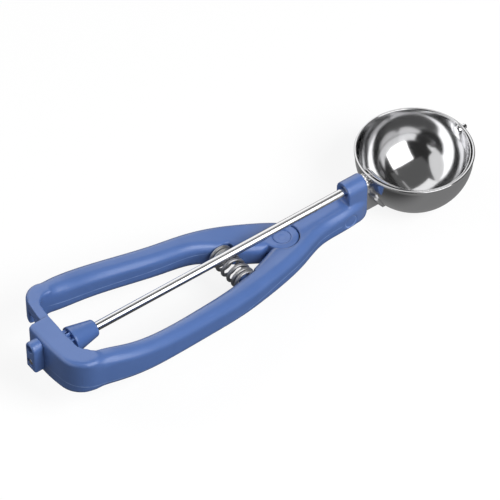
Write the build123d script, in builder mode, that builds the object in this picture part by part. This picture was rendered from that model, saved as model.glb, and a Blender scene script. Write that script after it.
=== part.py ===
"""Lever ice cream scoop: two moulded handles on a lap pivot, a rack-and-pinion drive and a scraper bowl.

+X runs along the drive rod to the bowl, +Y is the lever's side, +Z is up.  The origin is the centre of
the hanging hole's mouth on the tail cap.  Heights named *_top, *_bottom and *_mid are above the rod.
"""

import os
from math import atan, atan2, cos, degrees, hypot, pi, radians, sin, sqrt, tan

from build123d import *

os.makedirs("parts", exist_ok=True)

# ---- drive rod and overall layout (mm, degrees)
rod_radius = 2.0
rod_drop = 8.0
rod_tail_x = 0.5
handle_reach = 127.5
cap_proud = 5.0
block_front_reach = 44.0
bowl_gap = 3.4
running_fit = 0.05
clearance = 0.35

# ---- bowl
bowl_radius = 26.6
bowl_wall = 0.8
bowl_band = 2.5
rim_width = 1.2
rim_height = 0.6

# ---- scraper blade and its pins
blade_gap = 0.3
blade_wall = 0.8
blade_width = 9.0
blade_ear_radius = 4.4
blade_rest_angle = 7.0
front_pin_radius = 1.25
front_pin_end = 3.0
front_pin_head_radius = 2.2
front_pin_head = 0.9
collar_radius = 3.3
collar_teeth = 11
collar_length = 2.1
collar_tooth = 0.45

# ---- pinion and rack
gear_teeth = 9
gear_module = 1.0
pressure_angle = 25.0
gear_length = 9.2
gear_backlash = 0.1
rack_addendum = 0.7
rack_inset = 8.5
rack_width = 4.0
rack_back = 7.3
rack_teeth_before = 1
rack_teeth_after = 5
rack_near_length = 7.06
rack_far_length = 19.94
rack_pin_radius = 0.8
rack_pin_head = 0.5
rack_pin_inset = 0.55
rack_pin_top = 10.0
flange_radius = 6.1
flange_length = 1.0
cone_tip_radius = 3.8
cone_length = 11.5
flat_depth = 0.5

# ---- tail sleeve of the main handle (rho is the distance from the pivot)
sleeve_top = 12.3
sleeve_bottom = -8.4
sleeve_near_bottom = -4.8
sleeve_flat_y = -3.0
sleeve_depth = 10.1
sleeve_end_y = 8.0
sleeve_roof = 1.0
sleeve_floor = 2.4
sleeve_rear_wall = 5.9
sleeve_corner_start_y = -14.65
sleeve_hollow_y = -10.9
sleeve_corner_radius = 13.0
sleeve_tip_radius = 4.3
sleeve_hollow_radius = 6.5
sleeve_edge_radius = 2.1
sleeve_foot_radius = 2.4
channel_y = -9.0
pocket_slack = 0.4

# ---- tongue of the lever
tongue_top = 11.0
tongue_front_inset = 10.6
tongue_rear_inset = 6.5
tongue_end_angle = 3.6
lever_corner_y = 20.5
lever_corner_radius = 8.0
lever_corner_bottom = -3.6
lever_corner_x = 17.2
lever_hollow_x = 20.4
lever_hollow_y = 19.3
lever_hollow_radius = 6.0
lever_hollow_end_y = 14.0
lever_travel = 6.0

# ---- tail cap
cap_half_width = 3.2
cap_bottom = -4.2
cap_edge_radius = 1.0
spigot_radius = 2.9
hang_hole_radius = 1.9
hang_hole_depth = 4.2

# ---- lap joint
disc_radius = 7.55
disc_top = -6.9
disc_bottom = -12.4
knuckle_radius = 9.0
knuckle_bottom = -18.7
washer_thickness = 0.5
pivot_pin_radius = 2.0
pivot_head_radius = 3.4
pivot_head = 1.2
pivot_head_recess = 0.8
pivot_pin_top = -8.8
cap_button_radius = 4.0
cap_button = 1.2
button_well_bottom = -9.9
ring_thickness = 0.8
ring_radius = 3.5
ring_groove = 0.3
lever_near_angle = 182.5
lever_far_angle = 38.0

# ---- return spring
spring_x_from_pivot = 27.6
spring_mid = -8.5
spring_outer = 5.7
wire_radius = 0.85
spring_seat_lift = 0.6
spring_turns = 6.0
spring_near_y = -11.2
spring_far_y = 9.5
peg_radius = 2.6
peg_length = 3.5
near_well_radius = 6.1
far_well_radius = 6.7

# ---- head block, neck and tang
block_length = 10.2
block_arch_radius = 4.7
block_bottom = -19.0
block_nose_radius = 4.4
rear_recess_radius = 3.0
rear_recess = 0.8
tang_thickness = 1.5
tang_top = -9.1
tang_bottom = -17.8
tang_heel_bottom = -19.3
tang_toe_top = -7.7
tang_rear_inset = 25.0
tang_pad_width = 10.5
tang_pad_height = 10.0
tang_pad_mid = -13.9
tang_pad_thickness = 1.2
rivet_radius = 1.5
rivet_head_radius = 2.6
rivet_head = 0.8
rivet_half_length = 4.0
rivet_inset = 10.6
rivet_mid = -12.9
plug_radius = 3.1
plug_outer_y = 6.5

# ---- positions that follow
rod_z = -rod_drop
pivot_x = cap_proud + handle_reach
block_front_x = pivot_x + block_front_reach
block_rear_x = block_front_x - block_length
bowl_x = block_front_x + bowl_gap + bowl_radius
bowl_inner = bowl_radius - bowl_wall
blade_outer = bowl_inner - blade_gap
blade_inner = blade_outer - blade_wall
gear_pitch_radius = gear_module * gear_teeth / 2
gear_tip_radius = gear_pitch_radius + gear_module
gear_root_radius = gear_pitch_radius - 1.3 * gear_module
gear_base_radius = gear_pitch_radius * cos(radians(pressure_angle))
sleeve_rear_rho = handle_reach - sleeve_rear_wall
sleeve_front_rho = handle_reach - sleeve_depth
sleeve_rise_y = sleeve_corner_start_y - sleeve_corner_radius - clearance
tongue_front_rho = handle_reach - tongue_front_inset
tongue_rear_rho = handle_reach - tongue_rear_inset
rack_rho = handle_reach - rack_inset
rack_near_end = degrees(rack_near_length / rack_rho)
rack_far_end = degrees(rack_far_length / rack_rho)
gear_tail_x = pivot_x - sleeve_rear_rho + clearance
gear_front_x = gear_tail_x + gear_length
flange_front_x = gear_front_x + flange_length
cone_front_x = flange_front_x + cone_length
rod_front_x = bowl_x - blade_inner + 1.4
washer_bottom = disc_bottom - washer_thickness
rack_tip_mid = gear_pitch_radius - rack_addendum
rack_root_mid = gear_tip_radius + 0.25
tooth_angle = degrees(pi * gear_module / rack_rho)
spring_x = pivot_x - spring_x_from_pivot
well_radius = disc_radius + clearance


def on_pivot(rho, angle):
    """Plan point at a distance from the pivot; angle 0 points at the tail and grows to the lever."""
    return (pivot_x - rho * cos(radians(angle)), rho * sin(radians(angle)))


def plan(height):
    """Horizontal plane at a height above the rod."""
    return Plane.XY.offset(rod_z + height)


def across(x):
    """Plane square to the rod: its x runs along +Y, its y along +Z, its normal along +X."""
    return Plane(origin=(x, 0, rod_z), x_dir=(0, 1, 0), z_dir=(1, 0, 0))


def along(y):
    """Plane parallel to the rod: its x runs along +X, its y along +Z, its normal along -Y."""
    return Plane(origin=(0, y, rod_z), x_dir=(1, 0, 0), z_dir=(0, -1, 0))


def section_planes(stations):
    """Upright planes at the stations, each square to the run of the arm in plan."""
    planes = []
    for index, (x, y, mid, *_) in enumerate(stations):
        before = stations[max(index - 1, 0)]
        after = stations[min(index + 1, len(stations) - 1)]
        heading = atan2(after[1] - before[1], after[0] - before[0])
        planes.append(
            Plane(
                origin=(x, y, rod_z + mid),
                x_dir=(-sin(heading), cos(heading), 0),
                z_dir=(cos(heading), sin(heading), 0),
            )
        )
    return planes


def tail_x(share):
    """X of an arm station: 0 is the tail wall, 1 is the pivot."""
    return cap_proud + share * handle_reach


def ring_sector(rho_in, rho_out, start, end):
    """Edges of the closed outline between two arcs about the pivot."""
    middle = (start + end) / 2
    with BuildLine() as outline:
        inner = ThreePointArc(on_pivot(rho_in, start), on_pivot(rho_in, middle), on_pivot(rho_in, end))
        outer = ThreePointArc(on_pivot(rho_out, start), on_pivot(rho_out, middle), on_pivot(rho_out, end))
        Line(inner @ 0, outer @ 0)
        Line(inner @ 1, outer @ 1)
    return outline.edges()


# ---- main handle: tail sleeve, near arm, neck and head block
# each station: x, y, height of the middle, width, height, corner radius
near_stations = [
    (tail_x(0.0913), -21.9, 3.05, 8.1, 17.6, 3.0),
    (tail_x(0.135), -22.45, 2.6, 8.9, 17.8, 3.9),
    (tail_x(0.235), -24.5, 0.7, 8.8, 16.4, 4.2),
    (tail_x(0.39), -24.6, -1.7, 8.8, 14.4, 4.2),
    (tail_x(0.55), -22.1, -4.6, 9.4, 13.8, 4.3),
    (tail_x(0.705), -18.6, -7.9, 10.2, 13.5, 4.3),
    (tail_x(0.80), -15.2, -10.1, 10.8, 13.4, 4.2),
    (tail_x(0.90), -10.9, -12.0, 12.2, 13.4, 4.2),
    (pivot_x, -6.4, -12.4, 14.0, 12.8, 4.0),
    (pivot_x + 14.5, -1.1, -12.4, 14.4, 12.8, 4.0),
    (pivot_x + 26.0, -0.3, -12.3, 13.8, 13.2, 4.0),
    (block_rear_x + 3.0, 0.0, -12.1, 13.2, 13.6, 3.8),
    (block_rear_x + 7.0, 0.0, -12.2, 11.4, 13.2, 3.8),
    (block_front_x - 0.9, 0.0, -12.2, 8.8, 11.4, 3.6),
]
wedge_reach = 60.0
main_near_angle = lever_near_angle + lever_travel + 2.0
main_far_angle = lever_far_angle - 4.0
channel_top = sleeve_top - sleeve_roof
channel_bottom = sleeve_bottom + sleeve_floor
pocket_bottom = rack_tip_mid - clearance
pocket_end_angle = tongue_end_angle + lever_travel + pocket_slack
rivet_x = block_front_x - rivet_inset
tang_rear_x = block_front_x - tang_rear_inset
tang_outline = [
    (tang_rear_x, tang_bottom),
    (block_front_x - 4.0, tang_bottom),
    (block_front_x, tang_heel_bottom),
    (block_front_x + 16.0, tang_heel_bottom),
    (block_front_x + 10.0, tang_toe_top),
    (block_front_x + 6.9, tang_toe_top),
    (block_front_x + 3.5, tang_top),
    (tang_rear_x, tang_top),
]


def polar(radius, angle):
    """Plan point about the pivot at an angle from +X towards +Y."""
    return (pivot_x + radius * cos(radians(angle)), radius * sin(radians(angle)))


def on_wall(rho, y):
    """Plan point at a distance from the pivot and at a given y, on the tail's side."""
    return (pivot_x - sqrt(rho**2 - y**2), y)


def on_sleeve_outline(edge):
    """True for an edge that runs along the sleeve's rear wall, its near corner or its tip."""
    points = (edge @ 0.1, edge @ 0.5, edge @ 0.9)
    return any(
        all(abs(hypot(p.X - centre.X, p.Y - centre.Y) - radius) < 0.05 for p in points)
        for centre, radius in (
            (Vector(pivot_x, 0), handle_reach),
            (turn.arc_center, sleeve_corner_radius),
            (tip.arc_center, sleeve_tip_radius),
        )
    ) and abs(points[0].Z - points[2].Z) < 2.5


with BuildPart() as main_handle:
    # tail sleeve with its near corner
    with BuildSketch(plan(sleeve_bottom)):
        with BuildLine():
            wall = ThreePointArc(
                on_wall(handle_reach, sleeve_end_y),
                (cap_proud, 0),
                on_wall(handle_reach, sleeve_corner_start_y),
            )
            turn = JernArc(wall @ 1, wall % 1, sleeve_corner_radius, 74)
            tip = JernArc(turn @ 1, turn % 1, sleeve_tip_radius, 160)
            hollow = RadiusArc(
                tip @ 1, on_wall(sleeve_front_rho + 0.4, sleeve_hollow_y), sleeve_hollow_radius
            )
            front = ThreePointArc(
                hollow @ 1, on_pivot(sleeve_front_rho, -0.5), on_wall(sleeve_front_rho, sleeve_end_y)
            )
            Line(front @ 1, wall @ 0)
        make_face()
    extrude(amount=sleeve_top - sleeve_bottom)
    # underside rising towards the near arm
    with BuildSketch(across(0)):
        with BuildLine():
            rise = TangentArc(
                (sleeve_flat_y, sleeve_bottom),
                (sleeve_rise_y, sleeve_near_bottom),
                tangent=(-1, 0),
            )
            Polyline(
                rise @ 1,
                (sleeve_rise_y, sleeve_bottom - 2.0),
                (sleeve_flat_y, sleeve_bottom - 2.0),
                rise @ 0,
            )
        make_face()
    extrude(amount=40.0, mode=Mode.SUBTRACT)
    outline_edges = main_handle.edges().filter_by(on_sleeve_outline)
    top_edges = outline_edges.filter_by(lambda e: (e @ 0.5).Z > rod_z + sleeve_top - 0.1)
    fillet(top_edges, sleeve_edge_radius)
    outline_edges = main_handle.edges().filter_by(on_sleeve_outline)
    foot_edges = outline_edges.filter_by(lambda e: (e @ 0.5).Z < rod_z + sleeve_near_bottom + 0.1)
    fillet(foot_edges, sleeve_foot_radius)
    # near arm and neck in one run
    for plane, (x, y, mid, width, height, corner) in zip(section_planes(near_stations), near_stations):
        with BuildSketch(plane):
            RectangleRounded(width, height, corner)
    loft()
    # head block with its arch round the rod
    with BuildSketch(along(-block_arch_radius)):
        with BuildLine():
            base = Line((block_rear_x, block_bottom), (block_front_x - block_nose_radius, block_bottom))
            nose = RadiusArc(
                base @ 1,
                (block_front_x, block_bottom + block_nose_radius),
                -block_nose_radius,
            )
            Polyline(nose @ 1, (block_front_x, 0), (block_rear_x, 0), base @ 0)
        make_face()
    extrude(amount=-2 * block_arch_radius)
    with BuildSketch(across(block_rear_x)):
        Circle(block_arch_radius)
    extrude(amount=block_front_x - block_rear_x)
    # lap joint: lower knuckle, well for the lever's disc, room for the lever's arm
    with BuildSketch(plan(knuckle_bottom)):
        with Locations((pivot_x, 0)):
            Circle(knuckle_radius)
    extrude(amount=washer_bottom - knuckle_bottom)
    with BuildSketch(plan(washer_bottom)):
        with Locations((pivot_x, 0)):
            Circle(well_radius)
        Polygon(
            (pivot_x, 0),
            polar(wedge_reach, main_far_angle),
            polar(wedge_reach, 90),
            polar(wedge_reach, main_near_angle),
            align=None,
        )
    extrude(amount=20.0, mode=Mode.SUBTRACT)
    with BuildSketch(plan(knuckle_bottom - 5.0)):
        Polygon(
            (pivot_x, 0),
            polar(wedge_reach, main_far_angle),
            polar(wedge_reach, 90),
            polar(wedge_reach, main_near_angle),
            align=None,
        )
        with Locations((pivot_x, 0)):
            Circle(knuckle_radius, mode=Mode.SUBTRACT)
    extrude(amount=40.0, mode=Mode.SUBTRACT)
    # pin hole and the recess for the pin's head
    with BuildSketch(plan(knuckle_bottom - 1.0)):
        with Locations((pivot_x, 0)):
            Circle(pivot_pin_radius)
    extrude(amount=washer_bottom - knuckle_bottom + 1.0, mode=Mode.SUBTRACT)
    with BuildSketch(plan(knuckle_bottom - 1.0)):
        with Locations((pivot_x, 0)):
            Circle(pivot_head_radius + 0.2)
    extrude(amount=1.0 + pivot_head_recess + pivot_head, mode=Mode.SUBTRACT)
    # channel for pinion, rack and tongue, then the blind pocket the tongue slides into
    with BuildSketch(plan(channel_bottom)):
        with BuildLine():
            rear = ThreePointArc(
                on_wall(sleeve_rear_rho, sleeve_end_y + 1),
                on_pivot(sleeve_rear_rho, 0),
                on_wall(sleeve_rear_rho, channel_y),
            )
            Polyline(
                rear @ 1,
                (pivot_x - sleeve_front_rho + 5.0, channel_y),
                (pivot_x - sleeve_front_rho + 5.0, sleeve_end_y + 1),
                rear @ 0,
            )
        make_face()
    extrude(amount=channel_top - channel_bottom, mode=Mode.SUBTRACT)
    with BuildSketch(plan(pocket_bottom)):
        make_face(
            ring_sector(
                tongue_front_rho - clearance,
                sleeve_rear_rho,
                -pocket_end_angle,
                degrees(channel_y / handle_reach) + 1.0,
            )
        )
    extrude(amount=channel_top - pocket_bottom, mode=Mode.SUBTRACT)
    # rear wall opening for the cap's spigot, rod bore and recess in the head block
    with BuildSketch(across(0)):
        Circle(spigot_radius)
    extrude(amount=gear_tail_x + 2.0, mode=Mode.SUBTRACT)
    with BuildSketch(across(block_rear_x - 12.0)):
        Circle(rod_radius + running_fit)
    extrude(amount=30.0, mode=Mode.SUBTRACT)
    with BuildSketch(across(block_rear_x)):
        Circle(rear_recess_radius)
    extrude(amount=rear_recess, mode=Mode.SUBTRACT)
    # spring seat with its peg
    with BuildSketch(along(spring_near_y)):
        with Locations((spring_x, spring_mid)):
            Circle(near_well_radius)
    extrude(amount=-14.0, mode=Mode.SUBTRACT)
    with BuildSketch(along(spring_near_y - 0.5)):
        with Locations((spring_x, spring_mid)):
            Circle(peg_radius)
    extrude(amount=-(peg_length + 0.5))
    # slot for the tang, rivet hole and plug seats
    with BuildSketch(along(-tang_thickness / 2)):
        Polygon(*tang_outline, align=None)
    extrude(amount=-tang_thickness, mode=Mode.SUBTRACT)
    with BuildSketch(along(-rivet_half_length)):
        with Locations((rivet_x, rivet_mid)):
            Circle(rivet_radius)
    extrude(amount=-2 * rivet_half_length, mode=Mode.SUBTRACT)
    with BuildSketch(along(-rivet_half_length + rivet_head)):
        with Locations((rivet_x, rivet_mid)):
            Circle(plug_radius)
    extrude(amount=12.0, mode=Mode.SUBTRACT)
    with BuildSketch(along(rivet_half_length - rivet_head)):
        with Locations((rivet_x, rivet_mid)):
            Circle(plug_radius)
    extrude(amount=-12.0, mode=Mode.SUBTRACT)
main_handle.part.label = "main_handle"
export_step(main_handle.part, "parts/main_handle.step")

# ---- lever handle: far arm, lap disc and the tongue that slides into the sleeve
far_stations = [
    (tail_x(0.10), 22.9, 3.4, 7.0, 14.8, 3.4),
    (tail_x(0.17), 23.8, 3.1, 9.2, 15.6, 4.2),
    (tail_x(0.28), 23.8, 0.9, 10.2, 14.8, 4.3),
    (tail_x(0.43), 22.2, -2.2, 10.3, 14.0, 4.3),
    (tail_x(0.59), 20.0, -5.3, 10.6, 13.5, 4.3),
    (tail_x(0.72), 18.4, -8.0, 11.7, 13.4, 4.3),
    (tail_x(0.815), 14.3, -10.2, 15.2, 13.2, 4.3),
    (tail_x(0.90), 9.6, -12.0, 17.4, 12.4, 4.2),
    (pivot_x - 2.5, 4.6, -13.2, 17.4, 12.0, 4.0),
    (pivot_x + 5.0, 0.8, -13.4, 13.0, 11.8, 4.0),
]
with BuildPart() as lever_handle:
    # tail corner down to the shoulder
    with BuildSketch(plan(lever_corner_bottom)):
        with BuildLine():
            rear = ThreePointArc(
                on_wall(tongue_rear_rho, lever_corner_y),
                on_wall(tongue_rear_rho, lever_corner_y + 0.4),
                on_wall(tongue_rear_rho, lever_corner_y + 0.8),
            )
            turn = JernArc(rear @ 1, rear % 1, lever_corner_radius, -98)
            Polyline(
                turn @ 1,
                (cap_proud + lever_corner_x, lever_corner_y - 0.7),
                on_wall(tongue_front_rho, lever_corner_y),
                rear @ 0,
            )
        make_face()
    extrude(amount=tongue_top - lever_corner_bottom)
    turn_edges = lever_handle.edges().filter_by(GeomType.CIRCLE).filter_by(
        lambda e: abs(e.radius - lever_corner_radius) < 0.1
    )
    fillet(turn_edges, sleeve_edge_radius)
    for plane, (x, y, mid, width, height, corner) in zip(section_planes(far_stations), far_stations):
        with BuildSketch(plane):
            RectangleRounded(width, height, corner)
    loft()
    # root: the sides cut back to the disc, the disc, and the lower half cut back round the knuckle
    with BuildSketch(plan(disc_bottom - 20.0)):
        Polygon(
            (pivot_x, 0),
            polar(wedge_reach, lever_near_angle),
            polar(wedge_reach, 270),
            polar(wedge_reach, 0),
            polar(wedge_reach, lever_far_angle),
            align=None,
        )
    extrude(amount=40.0, mode=Mode.SUBTRACT)
    with BuildSketch(plan(disc_bottom - 1.0)):
        with Locations((pivot_x, 0)):
            Circle(disc_radius)
    extrude(amount=disc_top - disc_bottom + 1.0)
    with BuildSketch(plan(disc_bottom)):
        with Locations((pivot_x, 0)):
            Circle(knuckle_radius + clearance)
    extrude(amount=-20.0, mode=Mode.SUBTRACT)
    with BuildSketch(plan(disc_bottom - 1.0)):
        with Locations((pivot_x, 0)):
            Circle(pivot_pin_radius + running_fit)
    extrude(amount=20.0, mode=Mode.SUBTRACT)
    with BuildSketch(plan(button_well_bottom)):
        with Locations((pivot_x, 0)):
            Circle(cap_button_radius)
    extrude(amount=20.0, mode=Mode.SUBTRACT)
    # tongue with the hollow of its inner corner
    with BuildSketch(plan(rack_back)):
        with BuildLine():
            rear = ThreePointArc(
                on_pivot(tongue_rear_rho, -tongue_end_angle),
                on_pivot(tongue_rear_rho, 3.0),
                on_wall(tongue_rear_rho, lever_corner_y + 0.5),
            )
            side = Polyline(
                rear @ 1,
                (cap_proud + lever_hollow_x, lever_corner_y + 1.5),
                (cap_proud + lever_hollow_x, lever_hollow_y),
            )
            hollow = RadiusArc(
                side @ 1, on_wall(tongue_front_rho, lever_hollow_end_y), -lever_hollow_radius
            )
            front = ThreePointArc(
                hollow @ 1,
                on_pivot(tongue_front_rho, 1.0),
                on_pivot(tongue_front_rho, -tongue_end_angle),
            )
            Line(front @ 1, rear @ 0)
        make_face()
    extrude(amount=tongue_top - rack_back)
    # holes for the rack's pins
    with BuildSketch(plan(rack_back - 1.0)):
        with Locations(
            on_pivot(rack_rho, -rack_near_end + rack_pin_inset),
            on_pivot(rack_rho, rack_far_end - rack_pin_inset),
        ):
            Circle(rack_pin_radius)
    extrude(amount=rack_pin_top - rack_back + 1.0, mode=Mode.SUBTRACT)
    # spring seat with its peg
    with BuildSketch(along(spring_far_y)):
        with Locations((spring_x, spring_mid)):
            Circle(far_well_radius)
    extrude(amount=14.0, mode=Mode.SUBTRACT)
    with BuildSketch(along(spring_far_y + 0.5)):
        with Locations((spring_x, spring_mid)):
            Circle(peg_radius)
    extrude(amount=peg_length + 0.5)
lever_handle.part.label = "lever_handle"
export_step(lever_handle.part, "parts/lever_handle.step")

# ---- gear rack under the tongue: a curved bar with radial teeth
tooth_half = pi * gear_module / 4 - gear_backlash
tooth_slope = tan(radians(pressure_angle))
with BuildPart() as gear_rack:
    with BuildSketch(plan(rack_root_mid)):
        make_face(
            ring_sector(
                rack_rho - rack_width / 2, rack_rho + rack_width / 2, -rack_near_end, rack_far_end
            )
        )
    extrude(amount=rack_back - rack_root_mid)
    for index in range(-rack_teeth_before, rack_teeth_after):
        angle = radians((index + 0.5) * tooth_angle)
        outward = (-cos(angle), sin(angle), 0)
        tooth_plane = Plane(
            origin=(
                pivot_x - (rack_rho - rack_width / 2) * cos(angle),
                (rack_rho - rack_width / 2) * sin(angle),
                rod_z,
            ),
            x_dir=(-sin(angle), -cos(angle), 0),
            z_dir=outward,
        )
        tip_half = tooth_half - rack_addendum * tooth_slope
        root_half = tooth_half + (rack_root_mid - gear_pitch_radius) * tooth_slope
        with BuildSketch(tooth_plane):
            Polygon(
                (-root_half, rack_root_mid + 0.2),
                (-root_half, rack_root_mid),
                (-tip_half, rack_tip_mid),
                (tip_half, rack_tip_mid),
                (root_half, rack_root_mid),
                (root_half, rack_root_mid + 0.2),
                align=None,
            )
        extrude(amount=rack_width)
    with BuildSketch(plan(rack_root_mid - 1.0)):
        with Locations(
            on_pivot(rack_rho, -rack_near_end + rack_pin_inset),
            on_pivot(rack_rho, rack_far_end - rack_pin_inset),
        ):
            Circle(rack_pin_radius)
    extrude(amount=5.0, mode=Mode.SUBTRACT)
gear_rack.part.label = "gear_rack"
export_step(gear_rack.part, "parts/gear_rack.step")

with BuildPart() as rack_rivets:
    with BuildSketch(plan(rack_root_mid)):
        with Locations(
            on_pivot(rack_rho, -rack_near_end + rack_pin_inset),
            on_pivot(rack_rho, rack_far_end - rack_pin_inset),
        ):
            Circle(rack_pin_radius)
    extrude(amount=rack_pin_top - rack_root_mid)
    with BuildSketch(plan(rack_root_mid)):
        with Locations(
            on_pivot(rack_rho, -rack_near_end + rack_pin_inset),
            on_pivot(rack_rho, rack_far_end - rack_pin_inset),
        ):
            Circle(rack_pin_radius + 0.25)
    extrude(amount=-rack_pin_head)
rack_rivets.part.label = "rack_rivets"
export_step(rack_rivets.part, "parts/rack_rivets.step")

# ---- drive pinion: cone, flange and gear in one moulding on the rod's flat
tooth_turn = degrees(2 * pi / gear_teeth)
pitch_roll = sqrt((gear_pitch_radius / gear_base_radius) ** 2 - 1)
tip_roll = sqrt((gear_tip_radius / gear_base_radius) ** 2 - 1)
pitch_half_angle = pi / (2 * gear_teeth) - gear_backlash / gear_pitch_radius


def flank_point(roll):
    """Point on a tooth's flank: radius and half angle at an involute roll."""
    radius = gear_base_radius * sqrt(1 + roll**2)
    half = pitch_half_angle + (pitch_roll - atan(pitch_roll)) - (roll - atan(roll))
    return radius, half


with BuildPart() as drive_pinion:
    with BuildSketch(across(gear_tail_x)):
        Circle(gear_root_radius)
    extrude(amount=gear_length)
    tip_angle = flank_point(tip_roll)[1]
    for index in range(gear_teeth):
        turned = Plane(
            origin=(gear_tail_x, 0, rod_z),
            x_dir=(0, cos(radians(index * tooth_turn)), sin(radians(index * tooth_turn))),
            z_dir=(1, 0, 0),
        )
        with BuildSketch(turned):
            with BuildLine():
                right_points = []
                left_points = []
                for step in range(5):
                    radius, half = flank_point(tip_roll * step / 4)
                    right_points.append((radius * sin(half), radius * cos(half)))
                    left_points.append((-radius * sin(half), radius * cos(half)))
                base_half = flank_point(0)[1]
                foot = gear_root_radius - 0.3
                right_flank = Spline(*right_points)
                left_flank = Spline(*left_points)
                ThreePointArc(right_flank @ 1, (0, gear_tip_radius), left_flank @ 1)
                Polyline(
                    right_flank @ 0,
                    (foot * sin(base_half), foot * cos(base_half)),
                    (-foot * sin(base_half), foot * cos(base_half)),
                    left_flank @ 0,
                )
            make_face()
        extrude(amount=gear_length)
    with BuildSketch(along(0)):
        Polygon(
            (gear_front_x, 0),
            (gear_front_x, flange_radius),
            (flange_front_x, flange_radius),
            (cone_front_x, cone_tip_radius),
            (cone_front_x, 0),
            align=None,
        )
    revolve(axis=Axis((0, 0, rod_z), (1, 0, 0)))
    tip_rim = drive_pinion.edges().filter_by(GeomType.CIRCLE).filter_by(
        lambda e: e.center().X > cone_front_x - 0.1
    )
    fillet(tip_rim, 0.7)
    with BuildSketch(across(gear_tail_x)):
        Circle(rod_radius)
        with Locations((0, 2 * rod_radius - flat_depth)):
            Rectangle(4 * rod_radius, 2 * rod_radius, mode=Mode.SUBTRACT)
    extrude(amount=cone_front_x - gear_tail_x, mode=Mode.SUBTRACT)
drive_pinion.part.label = "drive_pinion"
export_step(drive_pinion.part, "parts/drive_pinion.step")

# ---- drive rod with the flat under the pinion
with BuildPart() as drive_rod:
    with BuildSketch(across(rod_tail_x)):
        Circle(rod_radius)
    extrude(amount=rod_front_x - rod_tail_x)
    tail_rim = drive_rod.edges().sort_by(Axis.X)[0]
    fillet(tail_rim, rod_radius * 0.6)
    with BuildSketch(across(gear_tail_x)):
        with Locations((0, 2 * rod_radius - flat_depth)):
            Rectangle(4 * rod_radius, 2 * rod_radius)
    extrude(amount=cone_front_x - gear_tail_x, mode=Mode.SUBTRACT)
drive_rod.part.label = "drive_rod"
export_step(drive_rod.part, "parts/drive_rod.step")

# ---- serrated collar between head block and bowl
with BuildPart() as drive_collar:
    with BuildSketch(across(block_front_x + clearance)):
        Circle(collar_radius)
        with PolarLocations(collar_radius, collar_teeth):
            Circle(collar_tooth, mode=Mode.SUBTRACT)
        Circle(rod_radius, mode=Mode.SUBTRACT)
    extrude(amount=collar_length)
drive_collar.part.label = "drive_collar"
export_step(drive_collar.part, "parts/drive_collar.step")

# ---- tail cap with the rear bearing and the hanging hole
cap_top = rod_drop + cap_half_width
with BuildPart() as tail_cap:
    with BuildSketch(across(0)):
        with Locations((0, rod_drop)):
            Circle(cap_half_width)
        with Locations((0, (rod_drop + cap_bottom) / 2)):
            Rectangle(2 * cap_half_width, rod_drop - cap_bottom)
    extrude(amount=cap_proud + 1.0)
    face_rim = tail_cap.faces().sort_by(Axis.X)[0].edges()
    fillet(face_rim, cap_edge_radius)
    with BuildSketch(plan(cap_bottom - 1.0)):
        with Locations((pivot_x, 0)):
            Circle(handle_reach)
    extrude(amount=cap_top - cap_bottom + 2.0, mode=Mode.SUBTRACT)
    with BuildSketch(across(cap_proud - 1.0)):
        Circle(spigot_radius)
    extrude(amount=gear_tail_x - clearance - cap_proud + 1.0)
    with BuildSketch(across(-1.0)):
        Circle(rod_radius + running_fit)
    extrude(amount=gear_tail_x + 5.0, mode=Mode.SUBTRACT)
    with BuildSketch(across(0)):
        with Locations((0, rod_drop)):
            Circle(hang_hole_radius)
    extrude(amount=hang_hole_depth, mode=Mode.SUBTRACT)
tail_cap.part.label = "tail_cap"
export_step(tail_cap.part, "parts/tail_cap.step")

# ---- lap joint hardware
with BuildPart() as pivot_pin:
    with BuildSketch(plan(knuckle_bottom + pivot_head_recess)):
        with Locations((pivot_x, 0)):
            Circle(pivot_head_radius)
    extrude(amount=pivot_head)
    with BuildSketch(plan(knuckle_bottom + pivot_head_recess)):
        with Locations((pivot_x, 0)):
            Circle(pivot_pin_radius)
    extrude(amount=pivot_pin_top - knuckle_bottom - pivot_head_recess)
    with BuildSketch(plan(button_well_bottom + 0.1)):
        with Locations((pivot_x, 0)):
            Circle(pivot_pin_radius + 1.0)
            Circle(pivot_pin_radius - ring_groove, mode=Mode.SUBTRACT)
    extrude(amount=ring_thickness, mode=Mode.SUBTRACT)
pivot_pin.part.label = "pivot_pin"
export_step(pivot_pin.part, "parts/pivot_pin.step")

with BuildPart() as pivot_washer:
    with BuildSketch(plan(washer_bottom)):
        with Locations((pivot_x, 0)):
            Circle(disc_radius - 0.8)
            Circle(pivot_pin_radius, mode=Mode.SUBTRACT)
    extrude(amount=washer_thickness - 0.05)
pivot_washer.part.label = "pivot_washer"
export_step(pivot_washer.part, "parts/pivot_washer.step")

with BuildPart() as pivot_retaining_ring:
    with BuildSketch(plan(button_well_bottom + 0.1)):
        with Locations((pivot_x, 0)):
            Circle(ring_radius)
            Circle(pivot_pin_radius - ring_groove, mode=Mode.SUBTRACT)
        with Locations((pivot_x + ring_radius, 0)):
            Rectangle(2 * ring_radius, pivot_pin_radius * 1.2, mode=Mode.SUBTRACT)
    extrude(amount=ring_thickness)
pivot_retaining_ring.part.label = "pivot_retaining_ring"
export_step(pivot_retaining_ring.part, "parts/pivot_retaining_ring.step")

with BuildPart() as pivot_cap:
    with BuildSketch(plan(disc_top - 0.2)):
        with Locations((pivot_x, 0)):
            Circle(cap_button_radius)
    extrude(amount=-cap_button)
pivot_cap.part.label = "pivot_cap"
export_step(pivot_cap.part, "parts/pivot_cap.step")

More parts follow.
